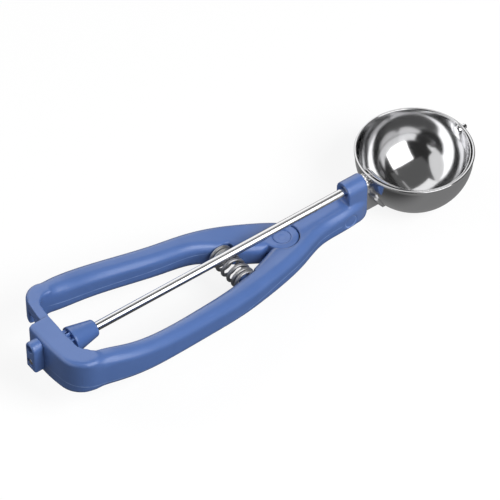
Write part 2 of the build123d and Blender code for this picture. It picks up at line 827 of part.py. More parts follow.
# ---- return spring between the two seats
spring_length = spring_far_y - spring_near_y
coil_radius = spring_outer - wire_radius
coil_run = spring_length - wire_radius - 0.1 - spring_seat_lift
with BuildPart() as return_spring:
    with BuildLine() as coil:
        Helix(
            pitch=coil_run / spring_turns,
            height=coil_run,
            radius=coil_radius,
            center=(spring_x, spring_near_y + spring_seat_lift, rod_z + spring_mid),
            direction=(0, 1, 0),
        )
    with BuildSketch(Plane(origin=coil.line @ 0, z_dir=coil.line % 0)):
        Circle(wire_radius)
    sweep(path=coil.line, is_frenet=True)
return_spring.part.label = "return_spring"
export_step(return_spring.part, "parts/return_spring.step")

# ---- bowl: half sphere, short straight band and rim
with BuildPart() as bowl:
    with BuildSketch(along(0)):
        with BuildLine():
            shell_outer = ThreePointArc(
                (bowl_x, -bowl_radius),
                (bowl_x + bowl_radius * sin(pi / 4), -bowl_radius * cos(pi / 4)),
                (bowl_x + bowl_radius, 0),
            )
            shell_inner = ThreePointArc(
                (bowl_x, -bowl_inner),
                (bowl_x + bowl_inner * sin(pi / 4), -bowl_inner * cos(pi / 4)),
                (bowl_x + bowl_inner, 0),
            )
            Line(shell_outer @ 0, shell_inner @ 0)
            Polyline(
                shell_outer @ 1,
                (bowl_x + bowl_radius, bowl_band - rim_height),
                (bowl_x + bowl_inner + rim_width, bowl_band - rim_height),
                (bowl_x + bowl_inner + rim_width, bowl_band),
                (bowl_x + bowl_inner, bowl_band),
                shell_inner @ 1,
            )
        make_face()
    revolve(axis=Axis((bowl_x, 0, 0), (0, 0, 1)))
    with BuildSketch(across(bowl_x - bowl_radius - 1.0)):
        Circle(rod_radius + running_fit)
    extrude(amount=5.0, mode=Mode.SUBTRACT)
    with BuildSketch(across(bowl_x + bowl_radius - 4.0)):
        Circle(front_pin_radius + running_fit)
    extrude(amount=5.0, mode=Mode.SUBTRACT)
bowl.part.label = "bowl"
export_step(bowl.part, "parts/bowl.step")

# ---- pressed tang with the pad that is welded to the bowl
with BuildPart() as bowl_tang:
    with BuildSketch(across(bowl_x - bowl_radius - 2.0)):
        with Locations((0, tang_pad_mid)):
            RectangleRounded(tang_pad_width, tang_pad_height, 3.0)
    extrude(amount=20.0)
    with Locations((bowl_x, 0, rod_z)):
        Sphere(bowl_radius + tang_pad_thickness, mode=Mode.INTERSECT)
    with BuildSketch(along(-tang_thickness / 2)):
        Polygon(*tang_outline, align=None)
    extrude(amount=-tang_thickness)
    with BuildSketch(along(-tang_thickness)):
        with Locations((rivet_x, rivet_mid)):
            Circle(rivet_radius)
    extrude(amount=-2 * tang_thickness, mode=Mode.SUBTRACT)
    with Locations((bowl_x, 0, rod_z)):
        Sphere(bowl_radius, mode=Mode.SUBTRACT)
bowl_tang.part.label = "bowl_tang"
export_step(bowl_tang.part, "parts/bowl_tang.step")

with BuildPart() as tang_rivet:
    with BuildSketch(along(-rivet_half_length)):
        with Locations((rivet_x, rivet_mid)):
            Circle(rivet_radius)
    extrude(amount=-2 * rivet_half_length)
    with BuildSketch(along(-rivet_half_length)):
        with Locations((rivet_x, rivet_mid)):
            Circle(rivet_head_radius)
    extrude(amount=-rivet_head)
    with BuildSketch(along(rivet_half_length)):
        with Locations((rivet_x, rivet_mid)):
            Circle(rivet_head_radius)
    extrude(amount=rivet_head)
tang_rivet.part.label = "tang_rivet"
export_step(tang_rivet.part, "parts/tang_rivet.step")

with BuildPart() as rivet_plugs:
    with BuildSketch(along(-rivet_half_length)):
        with Locations((rivet_x, rivet_mid)):
            Circle(plug_radius)
    extrude(amount=plug_outer_y - rivet_half_length)
    with BuildSketch(along(rivet_half_length)):
        with Locations((rivet_x, rivet_mid)):
            Circle(plug_radius)
    extrude(amount=-(plug_outer_y - rivet_half_length))
rivet_plugs.part.label = "rivet_plugs"
export_step(rivet_plugs.part, "parts/rivet_plugs.step")

# ---- scraper blade: a band of a sphere on the near wall at rest, with an ear at each pole
lean = radians(blade_rest_angle)
blade_plane = Plane(
    origin=(bowl_x, 0, rod_z), x_dir=(1, 0, 0), z_dir=(0, -cos(lean), -sin(lean))
)
with BuildPart() as scraper_blade:
    with BuildSketch(blade_plane):
        Rectangle(2 * bowl_radius + 2, blade_width)
    extrude(amount=bowl_radius + 1.0)
    with BuildSketch(across(bowl_x - bowl_radius)):
        Circle(blade_ear_radius)
    extrude(amount=2 * bowl_radius)
    with Locations((bowl_x, 0, rod_z)):
        Sphere(blade_outer, mode=Mode.INTERSECT)
    with Locations((bowl_x, 0, rod_z)):
        Sphere(blade_inner, mode=Mode.SUBTRACT)
    with BuildSketch(across(bowl_x - bowl_radius)):
        Circle(rod_radius)
    extrude(amount=5.0, mode=Mode.SUBTRACT)
    with BuildSketch(across(bowl_x + bowl_radius - 5.0)):
        Circle(front_pin_radius)
    extrude(amount=5.0, mode=Mode.SUBTRACT)
scraper_blade.part.label = "scraper_blade"
export_step(scraper_blade.part, "parts/scraper_blade.step")

with BuildPart() as scraper_washer:
    with BuildSketch(across(bowl_x - blade_inner + 0.25)):
        Circle(rod_radius + 1.3)
        Circle(rod_radius, mode=Mode.SUBTRACT)
    extrude(amount=0.7)
scraper_washer.part.label = "scraper_washer"
export_step(scraper_washer.part, "parts/scraper_washer.step")

with BuildPart() as front_pivot_pin:
    with BuildSketch(across(bowl_x + blade_inner - front_pin_head)):
        Circle(front_pin_head_radius)
    extrude(amount=front_pin_head - 0.12)
    with BuildSketch(across(bowl_x + blade_inner - front_pin_head)):
        Circle(front_pin_radius)
    extrude(amount=bowl_radius + front_pin_end - blade_inner + front_pin_head)
    pin_rim = front_pivot_pin.edges().sort_by(Axis.X)[-1]
    chamfer(pin_rim, 0.3)
front_pivot_pin.part.label = "front_pivot_pin"
export_step(front_pivot_pin.part, "parts/front_pivot_pin.step")
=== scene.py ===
"""Lever ice cream scoop: finishes, fine pieces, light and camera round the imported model.

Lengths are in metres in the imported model's frame: +X runs to the bowl, +Y to the lever's side, +Z up.
Sizes given in millimetres are multiplied by MM where they are used.
"""

import logging
import math
from dataclasses import dataclass
from enum import Enum
from typing import Any, Mapping, Sequence

import bmesh
import bpy
import numpy as np
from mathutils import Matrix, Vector

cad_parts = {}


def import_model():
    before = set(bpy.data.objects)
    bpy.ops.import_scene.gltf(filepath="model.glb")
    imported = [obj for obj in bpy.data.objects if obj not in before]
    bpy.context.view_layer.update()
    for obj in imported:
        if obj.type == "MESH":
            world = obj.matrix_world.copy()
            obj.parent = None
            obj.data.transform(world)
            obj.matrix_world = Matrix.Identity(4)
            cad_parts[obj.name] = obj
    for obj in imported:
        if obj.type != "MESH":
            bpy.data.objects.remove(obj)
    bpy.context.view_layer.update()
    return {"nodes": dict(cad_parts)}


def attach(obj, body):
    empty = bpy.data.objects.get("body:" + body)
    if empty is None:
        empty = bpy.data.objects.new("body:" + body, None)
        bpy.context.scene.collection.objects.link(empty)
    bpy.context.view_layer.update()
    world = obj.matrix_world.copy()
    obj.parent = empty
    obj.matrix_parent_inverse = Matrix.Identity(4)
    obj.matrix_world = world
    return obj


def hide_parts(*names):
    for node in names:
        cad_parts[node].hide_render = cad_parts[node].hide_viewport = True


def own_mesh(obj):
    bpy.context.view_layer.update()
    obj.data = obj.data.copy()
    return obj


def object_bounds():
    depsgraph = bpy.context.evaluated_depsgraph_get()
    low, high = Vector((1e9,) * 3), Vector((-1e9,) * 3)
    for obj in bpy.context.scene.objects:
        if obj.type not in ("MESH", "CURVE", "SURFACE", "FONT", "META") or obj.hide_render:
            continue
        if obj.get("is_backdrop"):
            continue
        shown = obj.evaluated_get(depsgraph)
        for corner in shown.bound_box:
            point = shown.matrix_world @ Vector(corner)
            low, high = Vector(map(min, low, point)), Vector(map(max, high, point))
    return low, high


MM = 0.001
ROD_HEIGHT = -8.0
PIVOT_X = 132.5
BOWL_X = 206.5
Array = np.ndarray
Triple = tuple[float, float, float]
log = logging.getLogger("scoop")


class Body(str, Enum):
    """The rigid bodies that pieces ride on."""

    FRAME = "frame"
    LEVER = "lever"
    SHAFT = "shaft"


class Axis(str, Enum):
    """The line that a turned piece is turned about."""

    ALONG = "x"
    UP = "z"


# ---------------------------------------------------------------- shader arithmetic


class Signal:
    """One output of a node tree, used as a number in Python expressions."""

    def __init__(self, graph: "Graph", socket: bpy.types.NodeSocket) -> None:
        """Wraps a socket.

        Args:
            graph: The node tree that the socket belongs to.
            socket: The output that carries the value.
        """
        self.graph = graph
        self.socket = socket

    def maths(self, operation: str, *terms: Any, clamp: bool = False) -> "Signal":
        """Adds one Math node.

        Args:
            operation: The Math node's operation.
            *terms: The node's inputs in order, numbers or signals.
            clamp: Whether the result is held between 0 and 1.

        Returns:
            The node's result.
        """
        settings = {"operation": operation, "use_clamp": clamp}
        node = self.graph.node("ShaderNodeMath", settings, dict(enumerate(terms)))
        return Signal(self.graph, node.outputs[0])

    def __add__(self, other: Any) -> "Signal":
        """Sum."""
        return self.maths("ADD", self, other)

    __radd__ = __add__

    def __mul__(self, other: Any) -> "Signal":
        """Product."""
        return self.maths("MULTIPLY", self, other)

    __rmul__ = __mul__

    def __sub__(self, other: Any) -> "Signal":
        """Difference."""
        return self.maths("SUBTRACT", self, other)

    def __rsub__(self, other: Any) -> "Signal":
        """Difference from a number."""
        return self.maths("SUBTRACT", other, self)

    def __abs__(self) -> "Signal":
        """Size without sign."""
        return self.maths("ABSOLUTE", self)

    def most(self, other: Any) -> "Signal":
        """The larger of the two."""
        return self.maths("MAXIMUM", self, other)

    def beside(self, other: Any) -> "Signal":
        """Square root of the sum of squares: the distance that two offsets make."""
        return self.maths("SQRT", self * self + other * other)

    def step(self, low: float, high: float) -> "Signal":
        """A smooth step from 0 at low to 1 at high; low may be the larger.

        Args:
            low: Value that gives 0.
            high: Value that gives 1.

        Returns:
            3t^2 - 2t^3, where t is how far the signal is from low to high, held between 0 and 1.
        """
        share = self.maths("MULTIPLY_ADD", self, 1.0 / (high - low), -low / (high - low), clamp=True)
        return share * share * (3.0 - 2.0 * share)

    def within(self, low: float, high: float, edge: float) -> "Signal":
        """1 between two values and 0 outside them, with soft edges of the given width."""
        return self.step(low - edge, low + edge) * self.step(high + edge, high - edge)

    def ridge(self, centre: Any, half_width: float) -> "Signal":
        """A smooth ridge of height 1 where the signal passes centre.

        Args:
            centre: Value on the crest, a number or a signal.
            half_width: Distance from the crest at which the ridge ends.

        Returns:
            The smooth step of the distance from the crest, falling to 0.
        """
        return abs(self - centre).step(half_width, 0.0)


class Graph:
    """A node tree that is being written, with the place on the object in millimetres."""

    def __init__(self, tree: bpy.types.NodeTree, coordinate: str = "Object", scale: float = 1.0 / MM) -> None:
        """Empties a tree and reads the coordinates.

        Args:
            tree: The tree of a material or a world.
            coordinate: Which output of Texture Coordinate is read.
            scale: What the coordinates are multiplied by.
        """
        self.tree = tree
        self.tree.nodes.clear()
        read = self.node("ShaderNodeTexCoord").outputs[coordinate]
        scaled = self.node("ShaderNodeVectorMath", {"operation": "SCALE"}, {0: read, "Scale": scale})
        self.place = scaled.outputs[0]
        split = self.node("ShaderNodeSeparateXYZ", {}, {0: self.place})
        self.x, self.y, self.z = (Signal(self, out) for out in split.outputs)

    def node(
        self, kind: str, settings: Mapping[str, Any] | None = None, inputs: Mapping[Any, Any] | None = None
    ) -> bpy.types.Node:
        """Adds a node: its settings first, then the values or links of its sockets.

        Args:
            kind: The node's type.
            settings: Attributes of the node.
            inputs: Socket name or number to a number, a colour, a socket or a Signal.

        Returns:
            The new node.
        """
        made = self.tree.nodes.new(kind)
        for key, value in (settings or {}).items():
            setattr(made, key, value)
        for key, value in (inputs or {}).items():
            socket = made.inputs[key]
            if isinstance(value, Signal):
                value = value.socket
            if isinstance(value, bpy.types.NodeSocket):
                self.tree.links.new(value, socket)
            elif isinstance(value, tuple) and socket.type == "RGBA":
                socket.default_value = (*value, 1.0)
            else:
                socket.default_value = value
        return made

    def ray(self, name: str) -> Signal:
        """One output of the Light Path node."""
        return Signal(self, self.node("ShaderNodeLightPath").outputs[name])

    def noise(self, size: float, detail: float = 2.0, stretch: Triple = (1.0, 1.0, 1.0)) -> Signal:
        """Smooth noise between 0 and 1.

        Args:
            size: Grain in millimetres.
            detail: Number of finer layers.
            stretch: How much longer the grain is along each axis.

        Returns:
            The noise.
        """
        scale = tuple(1.0 / (size * s) for s in stretch)
        place = self.node("ShaderNodeVectorMath", {"operation": "MULTIPLY"}, {0: self.place, 1: scale})
        inputs = {"Vector": place.outputs[0], "Scale": 1.0, "Detail": detail}
        return Signal(self, self.node("ShaderNodeTexNoise", {}, inputs).outputs[0])

    def mix(self, share: Any, first: Any, second: Any) -> bpy.types.NodeSocket:
        """Blends two colours.

        Args:
            share: How much of the second shows, from 0 to 1.
            first: Colour or socket.
            second: Colour or socket.

        Returns:
            The mixed colour.
        """
        made = self.node("ShaderNodeMix", {"data_type": "RGBA"}, {0: share, 6: first, 7: second})
        return made.outputs[2]

    def bump(self, height: Signal, depth: float) -> bpy.types.NodeSocket:
        """Turns a height into a bent normal.

        Args:
            height: Height from 0 to 1.
            depth: Height of 1 in metres.

        Returns:
            The normal.
        """
        return self.node("ShaderNodeBump", {}, {"Height": height, "Distance": depth}).outputs[0]


class Finish:
    """What every finish shares: a material with one Principled shader."""

    name: str

    def graph(self) -> Graph:
        """Starts the material.

        Returns:
            Its node tree, with only the coordinates in it.
        """
        made = bpy.data.materials.new(self.name)
        made.use_nodes = True
        return Graph(made.node_tree)

    def close(self, graph: Graph, **sockets: Any) -> bpy.types.Material:
        """Adds the surface shader and its output.

        Args:
            graph: The material's tree.
            **sockets: Inputs of the Principled shader, spaces in their names written as underscores.

        Returns:
            The finished material.
        """
        inputs = {key.replace("_", " "): value for key, value in sockets.items()}
        shader = graph.node("ShaderNodeBsdfPrincipled", {}, inputs)
        graph.node("ShaderNodeOutputMaterial", {}, {"Surface": shader.outputs[0]})
        return bpy.data.materials[self.name]


# ---------------------------------------------------------------- finishes


@dataclass(frozen=True)
class MouldedPlastic(Finish):
    """Satin blue nylon: moulding grain, light handling marks, mould lines painted lighter as highlights."""

    name: str
    colour: Triple = (0.075, 0.148, 0.38)
    worn: Triple = (0.092, 0.172, 0.42)
    # painted highlight: the lighter blue that the parting line and the plug ring are mixed towards
    painted_highlight_colour: Triple = (0.3, 0.44, 0.78)
    roughness: float = 0.42
    gloss: float = 0.9
    gloss_roughness: float = 0.26
    gloss_index: float = 1.65
    relief: float = 0.00004
    cloud_size: float = 14.0
    ripple_size: float = 6.0
    grain_size: float = 0.35
    scuff_size: float = 2.2
    scuff_stretch: Triple = (6.0, 1.0, 1.0)
    painted_highlight_share: float = 0.8
    line_relief: float = 1.4
    line_half_width: float = 0.26
    ring_half_width: float = 0.33
    parting_x: tuple[float, ...] = ()
    parting_z: tuple[float, ...] = ()
    # plug is where the painted highlight ring goes: its X, Z and radius
    plug: Triple | None = None

    def material(self) -> bpy.types.Material:
        """Builds the material.

        Returns:
            The material.
        """
        graph = self.graph()
        cloud = graph.noise(self.cloud_size, 3.0)
        grain = graph.noise(self.grain_size, 2.0)
        scuff = graph.noise(self.scuff_size, 3.0, self.scuff_stretch).step(0.62, 0.78)
        colour = graph.mix(0.35 * cloud.step(0.3, 0.7) + 0.25 * scuff, self.colour, self.worn)
        height = grain * 0.35 + graph.noise(self.ripple_size, 1.0) * 0.65
        lines = None
        if self.parting_x:
            lines = self.parting(graph)
            height = height + self.line_relief * lines
        if self.plug:
            lines = self.painted_plug_highlight(graph).most(lines if lines else 0.0)
        # painted highlight: the parting line and the plug ring are coloured lighter as if catching light;
        # only the parting line is also raised by the bump
        if lines:
            colour = graph.mix(self.painted_highlight_share * lines, colour, self.painted_highlight_colour)
        return self.close(
            graph,
            Base_Color=colour,
            Roughness=self.roughness + 0.10 * grain + 0.08 * scuff,
            Coat_Weight=self.gloss - 0.25 * scuff,
            Coat_Roughness=self.gloss_roughness,
            Coat_IOR=self.gloss_index,
            Normal=graph.bump(height, self.relief),
        )

    def parting(self, graph: Graph) -> Signal:
        """The raised line of the mould's two halves along an arm, also painted lighter as a highlight.

        Args:
            graph: The material that it goes into.

        Returns:
            1 on the line, 0 off it. The line's height over X is a cubic through the given places.
        """
        c3, c2, c1, c0 = (float(c) for c in np.polyfit(self.parting_x, self.parting_z, 3))
        height = ((graph.x * c3 + c2) * graph.x + c1) * graph.x + c0
        inside = graph.x.within(self.parting_x[0] - 2.0, self.parting_x[-1] + 2.0, 2.0)
        faint = 0.55 + 0.45 * graph.noise(5.0, 1.0).step(0.4, 0.6)
        return graph.z.ridge(height, self.line_half_width) * inside * faint

    def painted_plug_highlight(self, graph: Graph) -> Signal:
        """Painted highlight ring where a round plug meets the wall; plug is its X, Z and radius."""
        x, z, radius = self.plug
        return (graph.x - x).beside(graph.z - z).ridge(radius, self.ring_half_width)


@dataclass(frozen=True)
class PolishedMetal(Finish):
    """Bright metal with faint wiping marks."""

    name: str
    colour: Triple = (0.93, 0.93, 0.94)
    shade: Triple = (0.84, 0.84, 0.86)
    roughness: float = 0.02
    wear: float = 0.012
    relief: float = 0.000002
    cloud_size: float = 5.0
    mark_size: float = 0.25
    mark_stretch: Triple = (1.0, 1.0, 1.0)

    def material(self) -> bpy.types.Material:
        """Builds the material.

        Returns:
            The material.
        """
        graph = self.graph()
        cloud = graph.noise(self.cloud_size, 3.0)
        marks = graph.noise(self.mark_size, 2.0, self.mark_stretch)
        return self.close(
            graph,
            Base_Color=graph.mix(0.4 * cloud.step(0.35, 0.75), self.colour, self.shade),
            Metallic=1.0,
            Roughness=self.roughness + self.wear * (marks + cloud),
            Normal=graph.bump(cloud, self.relief),
        )


@dataclass(frozen=True)
class SatinMetal(Finish):
    """Steel with a fine directional grain."""

    name: str
    colour: Triple = (0.55, 0.55, 0.56)
    shade: Triple = (0.4, 0.4, 0.41)
    roughness: float = 0.36
    metallic: float = 0.8
    relief: float = 0.000006
    cloud_size: float = 7.0
    grain_size: float = 0.18
    grain_stretch: Triple = (8.0, 8.0, 1.0)

    def material(self) -> bpy.types.Material:
        """Builds the material.

        Returns:
            The material.
        """
        graph = self.graph()
        grain = graph.noise(self.grain_size, 2.0, self.grain_stretch)
        cloud = graph.noise(self.cloud_size, 2.0)
        return self.close(
            graph,
            Base_Color=graph.mix(0.5 * grain + 0.3 * cloud, self.colour, self.shade),
            Metallic=self.metallic,
            Roughness=self.roughness + 0.12 * grain,
            Normal=graph.bump(grain, self.relief),
        )


@dataclass(frozen=True)
class BowlSteel(Finish):
    """The bowl: a mirror inside and on the lip, a satin drawn skin outside."""

    name: str = "bowl_steel"
    mirror: Triple = (0.95, 0.95, 0.955)
    mirror_shade: Triple = (0.9, 0.9, 0.91)
    skin: Triple = (0.68, 0.685, 0.7)
    skin_shade: Triple = (0.5, 0.505, 0.515)
    skin_dullness: float = 0.16
    skin_roughness: float = 0.34
    relief: float = 0.000004
    cloud_size: float = 6.0
    grain_size: float = 0.16
    grain_stretch: Triple = (1.0, 1.0, 9.0)
    split_radius: float = 26.2
    lip_height: float = 1.7
    edge: float = 0.02

    def material(self) -> bpy.types.Material:
        """Builds the material.

        Returns:
            The material. The skin shows where a point is further from the bowl's centre than the middle
            of its wall and lies below the lip.
        """
        graph = self.graph()
        x, y, z = graph.x - BOWL_X, graph.y, graph.z - ROD_HEIGHT
        reach = x.beside(y).beside(z * z.step(self.edge, -self.edge))
        below_lip = z.step(self.lip_height + self.edge, self.lip_height - self.edge)
        outside = reach.step(self.split_radius - self.edge, self.split_radius + self.edge) * below_lip
        grain = graph.noise(self.grain_size, 2.0, self.grain_stretch)
        cloud = graph.noise(self.cloud_size, 3.0)
        skin = graph.mix(0.35 * grain + 0.45 * cloud, self.skin, self.skin_shade)
        inside = graph.mix(0.3 * cloud.step(0.4, 0.8), self.mirror, self.mirror_shade)
        return self.close(
            graph,
            Base_Color=graph.mix(outside, inside, skin),
            Metallic=1.0 - self.skin_dullness * outside,
            Roughness=0.002 + 0.004 * cloud + outside * (self.skin_roughness + 0.1 * grain),
            Normal=graph.bump(grain * outside, self.relief),
        )


# ---------------------------------------------------------------- surfaces


def grid_object(
    name: str, points: Array, wrap_rows: bool = False, wrap_columns: bool = False
) -> bpy.types.Object:
    """Makes a smooth mesh from a grid of points.

    Args:
        name: The object's name.
        points: Places in metres, rows by columns by 3; the faces' outside is where row crosses column.
        wrap_rows: Whether the last row joins the first.
        wrap_columns: Whether the last column joins the first.

    Returns:
        The object, linked to the scene, with double points merged and faces turned outwards.
    """
    rows, columns = points.shape[:2]
    index = np.arange(rows * columns).reshape(rows, columns)
    if wrap_rows:
        index = np.vstack([index, index[:1]])
    if wrap_columns:
        index = np.hstack([index, index[:, :1]])
    corners = (index[:-1, :-1], index[1:, :-1], index[1:, 1:], index[:-1, 1:])
    quads = np.stack(corners, axis=-1).reshape(-1, 4)
    mesh = bpy.data.meshes.new(name)
    mesh.from_pydata(points.reshape(-1, 3).tolist(), [], quads.tolist())
    return linked(name, mended(mesh, turn_outwards=True))


def mended(mesh: bpy.types.Mesh, turn_outwards: bool) -> bpy.types.Mesh:
    """Merges points that fall together.

    Args:
        mesh: The mesh, changed in place.
        turn_outwards: Whether its faces are turned outwards as well.

    Returns:
        The same mesh, shaded smooth.
    """
    work = bmesh.new()
    work.from_mesh(mesh)
    bmesh.ops.remove_doubles(work, verts=work.verts, dist=1e-7)
    bmesh.ops.dissolve_degenerate(work, edges=work.edges, dist=1e-8)
    if turn_outwards:
        bmesh.ops.recalc_face_normals(work, faces=work.faces)
    work.to_mesh(mesh)
    work.free()
    mesh.shade_smooth()
    return mesh


def linked(name: str, mesh: bpy.types.Mesh) -> bpy.types.Object:
    """Puts a mesh into the scene.

    Args:
        name: The object's name.
        mesh: Its mesh.

    Returns:
        The object, at the origin.
    """
    made = bpy.data.objects.new(name, mesh)
    bpy.context.scene.collection.objects.link(made)
    return made


def turned(
    name: str, profile: Sequence[Sequence[float]] | Array, centre: Triple, axis: Axis, sides: int
) -> bpy.types.Object:
    """Turns an outline about an axis.

    Args:
        name: The object's name.
        profile: Places along the axis and away from it in millimetres, n by 2. Its ends lie on the axis,
            or it closes on itself.
        centre: A point on the axis, in millimetres.
        axis: The line it is turned about.
        sides: Points round the axis.

    Returns:
        The object. A point at height a and distance r goes to a, r cos t, r sin t for each turn t.
    """
    profile = np.asarray(profile, dtype=float)
    turn = np.linspace(0.0, 2.0 * np.pi, sides, endpoint=False)
    along = np.repeat(profile[:, :1], sides, axis=1)
    first, second = profile[:, 1:] * np.cos(turn), profile[:, 1:] * np.sin(turn)
    order = (first, second, along) if axis is Axis.UP else (along, first, second)
    points = (np.stack(order, axis=-1) + np.asarray(centre)) * MM
    return grid_object(name, points, wrap_columns=True)


def arc(centre: Sequence[float], radius: float, start: float, end: float, count: int) -> Array:
    """Points of a circle's arc, from one angle to another in degrees: centre plus radius (cos, sin)."""
    angle = np.radians(np.linspace(start, end, count))
    return np.stack([centre[0] + radius * np.cos(angle), centre[1] + radius * np.sin(angle)], axis=-1)


def squared(wave: Array, power: float) -> Array:
    """Bends a sine or cosine towards a square wave: its sign times its size to a power below 1."""
    return np.sign(wave) * np.abs(wave) ** power


def baked(piece: bpy.types.Object) -> None:
    """Replaces a piece's mesh by the mesh that its modifiers give, and removes them.

    Args:
        piece: The piece, changed in place.
    """
    shape = piece.evaluated_get(bpy.context.evaluated_depsgraph_get())
    piece.data = bpy.data.meshes.new_from_object(shape)
    piece.modifiers.clear()
    piece.data.shade_smooth()


def relaxed(points: Array, edges: Array, rounds: Array) -> Array:
    """Smooths a surface by moving each point towards the middle of its neighbours.

    Args:
        points: Places, n by 3.
        edges: Pairs of joined points, m by 2.
        rounds: How many rounds each point takes part in, n values; a part of a round moves it less.

    Returns:
        The new places. Each round adds half of the neighbours' mean less the point.
    """
    count = len(points)
    start, end = np.concatenate([edges, edges[:, ::-1]]).T
    degree = np.bincount(start, minlength=count)[:, None]
    for turn in range(int(np.ceil(rounds.max()))):
        sums = [np.bincount(start, weights=points[end, axis], minlength=count) for axis in range(3)]
        share = 0.5 * np.clip(rounds - turn, 0.0, 1.0)[:, None]
        points = points + share * (np.stack(sums, axis=-1) / degree - points)
    return points


def softened(
    source: bpy.types.Object, name: str, voxel: float, rounds: float, spots: Sequence[Sequence[float]] = ()
) -> bpy.types.Object:
    """Copies a CAD node and rounds its sharp edges as a mould does.

    Args:
        source: The CAD node.
        name: The new object's name.
        voxel: Grain of the new surface in millimetres.
        rounds: How often the surface is relaxed; each round widens the edge radius.
        spots: Places that are relaxed more: X, Y, Z and radius in millimetres, then the added rounds.

    Returns:
        The new object.
    """
    made = linked(name, mended(source.data.copy(), turn_outwards=False))
    remesh = made.modifiers.new("even_grain", "REMESH")
    remesh.mode = "VOXEL"
    remesh.voxel_size = voxel * MM
    baked(made)
    mesh = made.data
    flat, pairs = np.empty(len(mesh.vertices) * 3), np.empty(len(mesh.edges) * 2, dtype=np.int32)
    mesh.vertices.foreach_get("co", flat)
    mesh.edges.foreach_get("vertices", pairs)
    points = flat.reshape(-1, 3)
    wanted = np.full(len(points), float(rounds))
    for x, y, z, radius, more in spots:
        away = np.linalg.norm(points / MM - (x, y, z), axis=1) / radius
        wanted += more * np.clip(1.0 - away**2, 0.0, 1.0)
    mesh.vertices.foreach_set("co", relaxed(points, pairs.reshape(-1, 2), wanted).ravel())
    mesh.update()
    log.info("%s has %d faces", name, len(mesh.polygons))
    return made


def bored(piece: bpy.types.Object, holes: Sequence[tuple[float, float, float]]) -> None:
    """Cuts round holes that run along X.

    Args:
        piece: The piece to cut.
        holes: For each hole, where it starts and ends along X and its radius, in millimetres.
    """
    for index, (start, end, radius) in enumerate(holes):
        outline = ((start, 0.0), (start, radius), (end, radius), (end, 0.0))
        drill = turned(f"drill_{index}", outline, (0.0, 0.0, ROD_HEIGHT), Axis.ALONG, 48)
        cut = piece.modifiers.new("hole", "BOOLEAN")
        cut.operation, cut.object = "DIFFERENCE", drill
        baked(piece)
        bpy.data.objects.remove(drill)


def paint(piece: bpy.types.Object, material: bpy.types.Material) -> None:
    """Gives a piece one material.

    Args:
        piece: The object.
        material: The material for all its slots.
    """
    if not piece.data.materials:
        piece.data.materials.append(material)
    for slot in piece.material_slots:
        slot.material = material
    piece.data.polygons.foreach_set("material_index", np.zeros(len(piece.data.polygons), dtype=np.int32))
    log.info("%s is dressed in %s", piece.name, material.name)


def mount(piece: bpy.types.Object, body: Body, node: str, material: bpy.types.Material) -> None:
    """Lets a new piece stand for a CAD node.

    Args:
        piece: The new piece.
        body: The body it moves with.
        node: The CAD node that it replaces.
        material: Its finish.
    """
    paint(piece, material)
    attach(piece, body.value)
    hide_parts(node)
    log.info("%s stands for %s", piece.name, node)


# ---------------------------------------------------------------- the object's pieces


